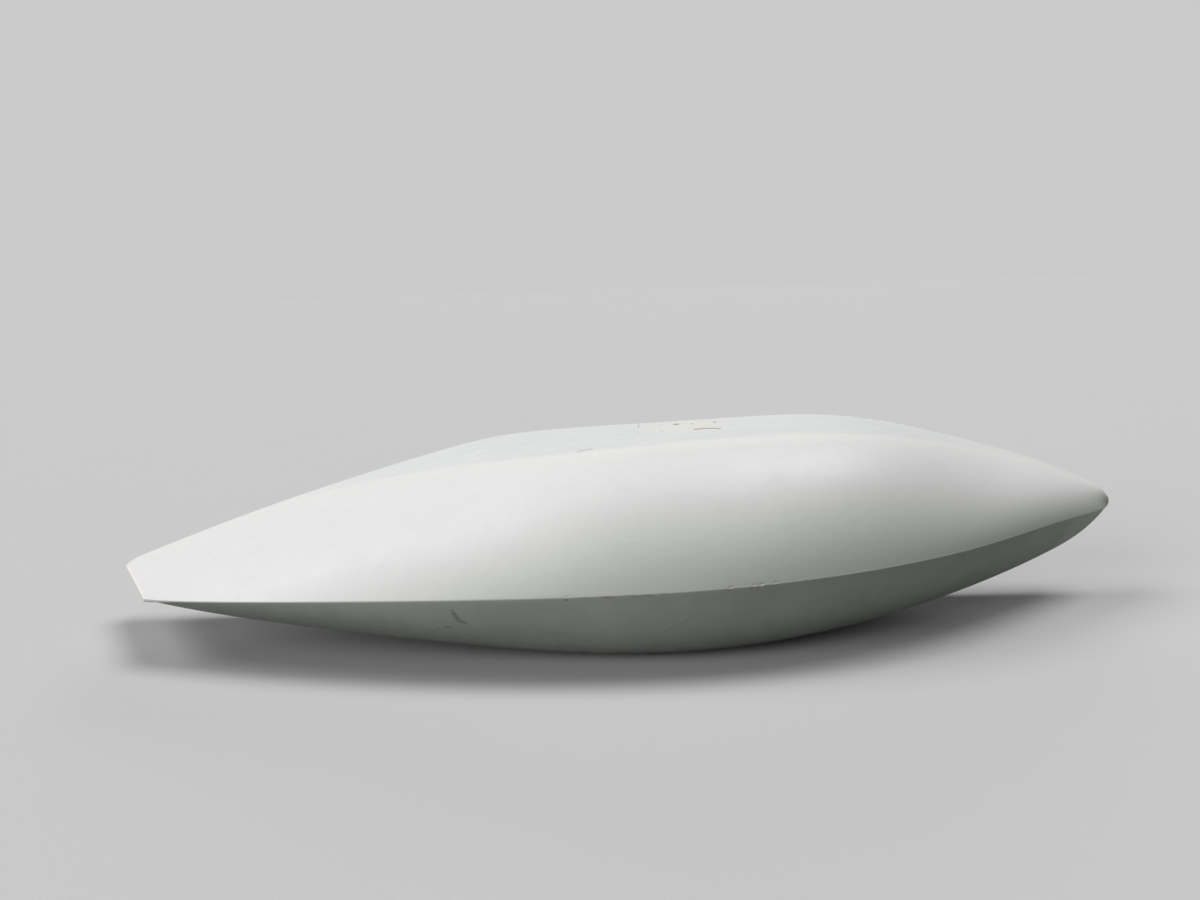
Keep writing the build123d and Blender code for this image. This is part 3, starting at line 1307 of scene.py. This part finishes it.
@dataclass(frozen=True)
class ShellFinish:
    """White paint, worn by use, on a shell whose inside is bare laminate; painted
    shade and painted highlights lie in the paint's colour.

    A mask rises from 0 to 1 between the two values of its pair. Those for the chine,
    the shoulder, the edge and the trailing edge's painted highlight and gel coat are
    distances in metres, those for a slope and for the painted shade of downturned
    faces are heights of the surface's normal, and those for the band and the tint are
    places along the shell.
    """

    paint: Colour = (0.820, 0.822, 0.815)
    dulled: Coat = Coat((0.790, 0.796, 0.782), 0.5, (0.35, 0.70))
    cooled: Coat = Coat((0.755, 0.765, 0.775), 0.35, (0.40, 0.75))
    # Painted shade: faces that turn from up towards sideways and down get a darker,
    # greener paint, standing in for the light they lack.
    downturned_shade_tint: Coat = Coat((0.780, 0.812, 0.745), 0.9, (0.75, 0.05))
    # Painted shade and dirt: below the chine the paint turns darker and greener, in
    # smudged patches.
    underside_shade_and_grime: Coat = Coat((0.660, 0.712, 0.650), 1.0, (-0.001, -0.006))
    # Painted highlight and wear: a cream line along the rounded crest of the shoulder,
    # where the light catches it, broken up by streaks.
    crest_highlight_and_wear: Coat = Coat((0.832, 0.822, 0.790), 0.85, (0.017, 0.002))
    rubbed: Coat = Coat((0.775, 0.765, 0.715), 0.90, (1.30, 0.35))
    # Painted highlight and bare gel coat: the trailing edge is lightened towards
    # white, standing in for the light it catches.
    edge_highlight_and_gelcoat: Coat = Coat((0.93, 0.87, 0.845), 0.9, (0.0034, 0.0012))
    top_band: Colour = (0.700, 0.718, 0.718)
    band_share: Pair = (0.35, 0.65)
    wiped: Colour = (0.690, 0.705, 0.700)
    primer: Colour = (0.36, 0.24, 0.18)
    primer_share: float = 0.40
    gloss: float = 0.40
    gloss_drift: float = 0.10
    specular: float = 0.36
    bump_strength: float = 0.35
    bump_height: float = 0.6 * MM
    grain_relief: float = 0.10
    mottle_relief: float = 0.25
    overspray: float = 0.5
    clouds: Clouding = Clouding(14.0, 3.0)
    mottle: Clouding = Clouding(75.0, 4.0)
    grain: Clouding = Clouding(1500.0, 2.0)
    ragged: Clouding = Clouding(900.0, 2.0)
    spray: Clouding = Clouding(160.0, 4.0)
    streaks: Clouding = Clouding(6.0, 4.0, stretch=(6.0, 60.0, 60.0))
    streaks_in_ridge: Pair = (0.6, 0.4)
    # The patches of the painted shade and dirt below the chine.
    shade_and_grime_smudges: Clouding = Clouding(17.0, 5.0, (0.38, 0.64), 0.75, roughness=0.62)
    brushing: Clouding = Clouding(1.0, 5.0, (0.28, 0.72), stretch=(11.0, 340.0, 340.0))
    wiping: Clouding = Clouding(3.0, 5.0, (0.50, 0.74), 0.22, (9.0, 150.0, 150.0))
    chipping: Clouding = Clouding(120.0, 4.0, (0.44, 0.62))
    bare: Pair = (0.50, 0.86)
    dull_clouds: Pair = (0.42, 0.68)
    flat_slope: Pair = (0.90, 0.985)
    above_chine: Pair = (0.0, 0.010)
    behind_shoulder: Pair = (0.004, 0.012)
    band_stretch: Pair = (-0.33, -0.20)
    ridge_broken: Pair = (0.36, 0.62)
    edge_below: Pair = (-0.0034, -0.0014)
    edge_above: Pair = (-0.0003, 0.0004)
    tint_starts: Pair = (-0.04, -0.015)
    tint_ends: Pair = (0.02, 0.05)
    tint_tail: Pair = (-0.385, -0.365)
    patch_at: Pair = (0.062, 0.060)
    patch_radius: float = 36.0 * MM
    patch_wander: float = 1.5
    cloth: ClothFinish = ClothFinish()
    strokes: tuple[Stroke, ...] = (
        Stroke(((0.0657, 0.0328, 0.173), (0.0700, 0.0343, 0.173),
                (0.0755, 0.0350, 0.173), (0.0815, 0.0335, 0.173),
                (0.0872, 0.0295, 0.173)), 0.0006, RUST, 0.75, FLAT),
        Stroke(((0.0520, 0.068, 0.175), (0.0550, 0.069, 0.175)),
               0.0011, SOOT, 0.70, FLAT, 0.8),
        Stroke(((0.0668, 0.066, 0.175), (0.0680, 0.066, 0.175)),
               0.0007, SOOT, 0.45, FLAT, 0.8),
        Stroke(((0.0862, 0.0665, 0.176), (0.0884, 0.0668, 0.176)),
               0.0008, SOOT, 0.55, FLAT, 0.8),
        Stroke(((0.0390, 0.0702, 0.174), (0.0405, 0.0702, 0.174)),
               0.0006, GREY, 0.40, FLAT, 0.8),
        Stroke(((0.0376, 0.0343, 0.175), (0.0388, 0.0343, 0.175)),
               0.0006, GREY, 0.40, FLAT, 0.8),
        Stroke(((0.0213, 0.095, 0.172), (0.0197, 0.0646, 0.174)),
               0.0005, UMBER, 0.45, UPRIGHT, 0.8),
        Stroke(((0.0186, 0.045, 0.174), (0.0180, 0.030, 0.174)),
               0.0005, GREY, 0.35, UPRIGHT, 0.8),
        Stroke(((-0.0330, -0.0060, 0.168), (-0.0210, -0.0045, 0.169)),
               0.0006, GREY, 0.40, FLAT, 0.8),
        Stroke(((-0.1299, -0.0808, 0.0608), (-0.1282, -0.0784, 0.0570)),
               0.0010, SOOT, 0.35, soft=0.9),
        Stroke(((-0.1285, -0.0780, 0.0562), (-0.1264, -0.0745, 0.0509),
                (-0.1238, -0.0730, 0.0485)), 0.0019, SOOT, 0.44, soft=0.95),
        Stroke(((-0.1222, -0.0729, 0.0482), (-0.1205, -0.0722, 0.0472)),
               0.0012, SOOT, 0.30, soft=0.9),
        Stroke(((-0.1440, -0.0630, 0.0401), (-0.1430, -0.0632, 0.0404)),
               0.0012, SOOT, 0.30, soft=0.9),
        Stroke(((-0.1390, -0.0650, 0.0412), (-0.1350, -0.0672, 0.0430),
                (-0.1330, -0.0655, 0.0405)), 0.0011, SOOT, 0.30, soft=0.95),
        Stroke(((-0.0619, -0.0701, 0.0363), (-0.0448, -0.0710, 0.0357)),
               0.0006, SOOT, 0.22, soft=0.9),
        Stroke(((0.0259, -0.0715, 0.0335), (0.0320, -0.0735, 0.0365),
                (0.0381, -0.0763, 0.0411), (0.0458, -0.0780, 0.0446),
                (0.0489, -0.0806, 0.0492), (0.0596, -0.0833, 0.0554)),
               0.0006, GREY, 0.26, soft=0.9),
        Stroke(((-0.0431, -0.0928, 0.0702),), 0.0011, SOOT, 0.70, soft=0.8),
        Stroke(((0.0770, -0.0920, 0.0738), (0.0800, -0.0918, 0.0740)),
               0.0018, TAN, 0.60, soft=0.8),
        Stroke(((0.0950, -0.0891, 0.0738), (0.0990, -0.0891, 0.0742)),
               0.0018, TAN, 0.60, soft=0.8),
        Stroke(((0.1112, -0.0868, 0.0740), (0.1128, -0.0866, 0.0742)),
               0.0014, TAN, 0.35, soft=0.8),
        Stroke(((0.0785, -0.0922, 0.0746),), 0.0010, FILLER, 0.95),
        Stroke(((0.0962, -0.0890, 0.0748),), 0.0010, FILLER, 0.95),
        Stroke(((0.1008, -0.0888, 0.0752), (0.1024, -0.0886, 0.0753)),
               0.0013, FILLER, 0.95),
        Stroke(((0.1120, -0.0864, 0.0749),), 0.0009, FILLER, 0.95),
        Stroke(((0.0634, -0.0928, 0.0765),), 0.0008, FILLER, 0.90, SHALLOW),
        Stroke(((0.0709, -0.0925, 0.0790),), 0.0006, FILLER, 0.90, SHALLOW),
        Stroke(((0.0109, -0.0925, 0.0925),), 0.0007, FILLER, 0.90, SHALLOW),
    )

    def build(self) -> bpy.types.Material:
        """Make the shell's material.

        Returns:
            The material.
        """
        board = Board(bpy.data.materials.new("worn_white_paint"))
        clouds = self.clouds.noise(board)
        mottle = self.mottle.noise(board)
        grain = self.grain.noise(board)
        ragged = self.ragged.noise(board) - 0.5
        spray = (self.spray.noise(board) - 0.5) * self.overspray
        inside = board.ease(board.trait(Trait.INSIDE) + spray, *self.bare)
        outside = 1.0 - inside
        paint = self.paint_colour(board, clouds, mottle)
        paint = board.lay(paint, [
            (stroke.mask(board, ragged), stroke.colour)
            for stroke in self.strokes
        ])
        bare, cloth, cloth_rough = self.cloth.build(board)
        dull = board.ease(clouds, *self.dull_clouds) + mottle
        rough = (dull * self.gloss_drift + self.gloss) * outside + cloth_rough * inside
        relief = grain * self.grain_relief + mottle * self.mottle_relief
        bump = board.node(
            "Bump", {}, Strength=self.bump_strength, Distance=self.bump_height,
            Height=relief * outside + cloth * inside,
        )
        return board.dress(
            Base_Color=board.blend(inside, paint, bare), Roughness=rough,
            Normal=board.out(bump), Specular_IOR_Level=self.specular,
        )

    def paint_colour(self, board: Board, clouds: Term, mottle: Term) -> Term:
        """Colour the paint before its marks.

        Args:
            board: The board to draw on.
            clouds: Broad noise.
            mottle: Fine noise.

        Returns:
            The colour.
        """
        x, y, _ = board.axes(board.where)
        normal = board.out(board.node("NewGeometry", {}), "Normal")
        level = board.axes(normal)[2]
        off_chine = board.trait(Trait.CHINE)
        off_ridge = board.trait(Trait.SHOULDER)
        top = board.ease(off_chine, *self.above_chine)
        top = top * board.ease(off_ridge, *self.behind_shoulder)
        top = top * board.ease(level, *self.flat_slope)
        top = top * board.ease(x, *self.band_stretch)
        weak, strong = self.band_share
        brushed = weak + self.brushing.mask(board) * strong
        from_streaks, from_clouds = self.streaks_in_ridge
        broken = self.streaks.noise(board) * from_streaks + clouds * from_clouds
        broken = board.ease(broken, *self.ridge_broken)
        return board.lay(self.paint, [
            self.dulled.over(board, clouds),
            self.cooled.over(board, mottle),
            # painted shade, darker and greener as the face turns from up towards down
            self.downturned_shade_tint.over(board, level),
            # painted shade and dirt under the chine, in smudged patches
            self.underside_shade_and_grime.over(board, off_chine, self.shade_and_grime_smudges.mask(board)),
            (top * brushed, self.top_band),
            # painted highlight along the crest, with worn paint
            self.crest_highlight_and_wear.over(board, off_ridge, broken),
            (self.wiping.mask(board), self.wiped),
            self.rubbed.over(board, self.off_patch(x, y, mottle), top),
            (self.edge_tint(board, x, off_chine) * self.primer_share, self.primer),
            # painted highlight and bare gel coat along the trailing edge
            self.edge_highlight_and_gelcoat.over(board, board.trait(Trait.AFT)),
        ])

    def off_patch(self, x: Term, y: Term, mottle: Term) -> Term:
        """Measure how far a place is from the rubbed patch by the rim.

        Args:
            x: The place along the shell.
            y: The place across it.
            mottle: Fine noise, which makes the patch's edge wander.

        Returns:
            The distance from the patch's middle, as a share of its radius.
        """
        along, across = [
            (at - middle) / self.patch_radius
            for at, middle in zip((x, y), self.patch_at)
        ]
        far = (across * across + along * along) ** 0.5
        return far + (mottle - 0.5) * self.patch_wander

    def edge_tint(self, board: Board, x: Term, off_chine: Term) -> Term:
        """Mark out where primer shows through along the edge of the chine.

        Args:
            board: The board to draw on.
            x: The place along the shell.
            off_chine: The distance from the chine, less than 0 below it.

        Returns:
            1 where primer shows, and 0 elsewhere.
        """
        edge = board.ease(off_chine, *self.edge_below)
        edge = edge * (1.0 - board.ease(off_chine, *self.edge_above))
        middle = board.ease(x, *self.tint_starts)
        middle = middle * (1.0 - board.ease(x, *self.tint_ends))
        tail = 1.0 - board.ease(x, *self.tint_tail)
        stretches = board.sum_up("MAXIMUM", middle, tail)
        return edge * self.chipping.mask(board) * stretches


@dataclass(frozen=True)
class FloorFinish:
    """A plain pale floor that throws little light up under the shell."""

    shown: Colour = (0.62, 0.62, 0.62)
    drifting: Colour = (0.605, 0.61, 0.61)
    thrown: Colour = (0.022, 0.030, 0.021)
    roughness: float = 0.9
    specular: float = 0.1
    drift: Clouding = Clouding(3.0, 3.0)

    def build(self) -> bpy.types.Material:
        """Make the floor's material.

        Returns:
            The material.
        """
        board = Board(bpy.data.materials.new("pale_floor"))
        drift = self.drift.noise(board)
        seen = board.looked_at("Camera", "Glossy", "Transmission")
        pale = board.blend(drift, self.shown, self.drifting)
        return board.dress(
            Base_Color=board.blend(seen, self.thrown, pale), Roughness=self.roughness,
            Specular_IOR_Level=self.specular,
        )


@dataclass
class Floor:
    """The floor, a wide round slab that meets the backdrop far away."""

    radius: float = 40.0
    thickness: float = 0.05
    sides: int = 96
    finish: FloorFinish = field(default_factory=FloorFinish)

    def build(self) -> bpy.types.Object:
        """Make the floor.

        Returns:
            The floor.
        """
        clear_selection()
        bpy.ops.mesh.primitive_circle_add(
            vertices=self.sides, radius=self.radius, fill_type="NGON"
        )
        floor = bpy.context.object
        floor.name = floor.data.name = "floor"
        bpy.ops.object.mode_set(mode="EDIT")
        bpy.ops.mesh.select_all(action="SELECT")
        bpy.ops.mesh.extrude_region_move(
            TRANSFORM_OT_translate={"value": (0.0, 0.0, -self.thickness)}
        )
        bpy.ops.mesh.select_all(action="SELECT")
        bpy.ops.mesh.normals_make_consistent(inside=False)
        bpy.ops.object.mode_set(mode="OBJECT")
        floor.data.materials.append(self.finish.build())
        return floor


@dataclass
class Lamp:
    """One broad soft light a long way off, such as a bright ceiling."""

    name: str
    way: Point
    level: float
    spread: float
    shine: bool = True
    stands_off: float = 3.0

    def build(self) -> None:
        """Hang the lamp, facing the shell."""
        data = bpy.data.lights.new(self.name, "SUN")
        data.energy = self.level * math.pi
        data.angle = math.radians(self.spread)
        lamp = bpy.data.objects.new(self.name, data)
        bpy.context.scene.collection.objects.link(lamp)
        lamp.visible_glossy = self.shine
        lamp.location = Vector(self.way).normalized() * self.stands_off
        lamp.rotation_euler = Vector(self.way).to_track_quat("Z", "Y").to_euler()


@dataclass
class Studio:
    """Soft light from above, and the camera of the photograph."""

    lens: float = 28.2
    sensor: float = 36.0
    eye: Point = (-0.0148, -0.755, 0.300)
    pitch: float = 10.126
    roll: float = -1.75
    nearest: float = 0.01
    ambient: float = 0.010
    backdrop: float = 0.742
    lamps: tuple[Lamp, ...] = (
        Lamp("window_light", (-0.76, -0.56, 0.34), 0.40, 34.0),
        Lamp("front_light", (0.20, -0.72, 0.66), 0.06, 34.0),
        Lamp("left_ceiling_light", (-0.62, 0.00, 0.78), 0.33, 30.0),
        Lamp("right_ceiling_light", (0.34, 0.00, 0.94), 0.465, 30.0),
        Lamp("rear_light", (0.10, 0.94, 0.30), 0.24, 40.0, shine=False),
    )

    def build_camera(self) -> None:
        """Stand the camera where the photograph was taken."""
        data = bpy.data.cameras.new("camera")
        data.lens = self.lens
        data.sensor_width = self.sensor
        data.sensor_fit = "HORIZONTAL"
        data.clip_start = self.nearest
        camera = bpy.data.objects.new("camera", data)
        bpy.context.scene.collection.objects.link(camera)
        camera.location = self.eye
        tilt = Euler((math.radians(90.0 - self.pitch), 0.0, 0.0)).to_quaternion()
        turn = Euler((0.0, 0.0, math.radians(self.roll))).to_quaternion()
        camera.rotation_euler = (tilt @ turn).to_euler()
        bpy.context.scene.camera = camera

    def build_world(self) -> None:
        """Fill the room with weak even light, behind a pale backdrop."""
        world = bpy.data.worlds.new("room")
        bpy.context.scene.world = world
        board = Board(world)
        level = board.node(
            "MapRange", {}, Value=board.looked_at("Camera", "Glossy"),
            To_Min=self.ambient, To_Max=self.backdrop,
        )
        light = board.node("Background", {}, Strength=board.out(level, "Result"))
        board.node("OutputWorld", {}, Surface=board.out(light))

    def build(self) -> None:
        """Set the scene's light, camera and plain colour handling."""
        self.build_camera()
        self.build_world()
        for lamp in self.lamps:
            lamp.build()
        bpy.context.scene.view_settings.view_transform = "Standard"


def main() -> None:
    """Build the shell, its finish, the floor and the studio."""
    logging.basicConfig(level=logging.INFO, format="%(message)s")
    shell = ShellSkin().build()
    shell.data.materials.append(ShellFinish().build())
    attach(shell, BODY)
    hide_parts(NODE)
    LOG.info("%s: %d faces", shell.name, len(shell.data.polygons))
    floor = Floor().build()
    LOG.info("%s: %d faces", floor.name, len(floor.data.polygons))
    Studio().build()


if __name__ == "__main__":
    main()
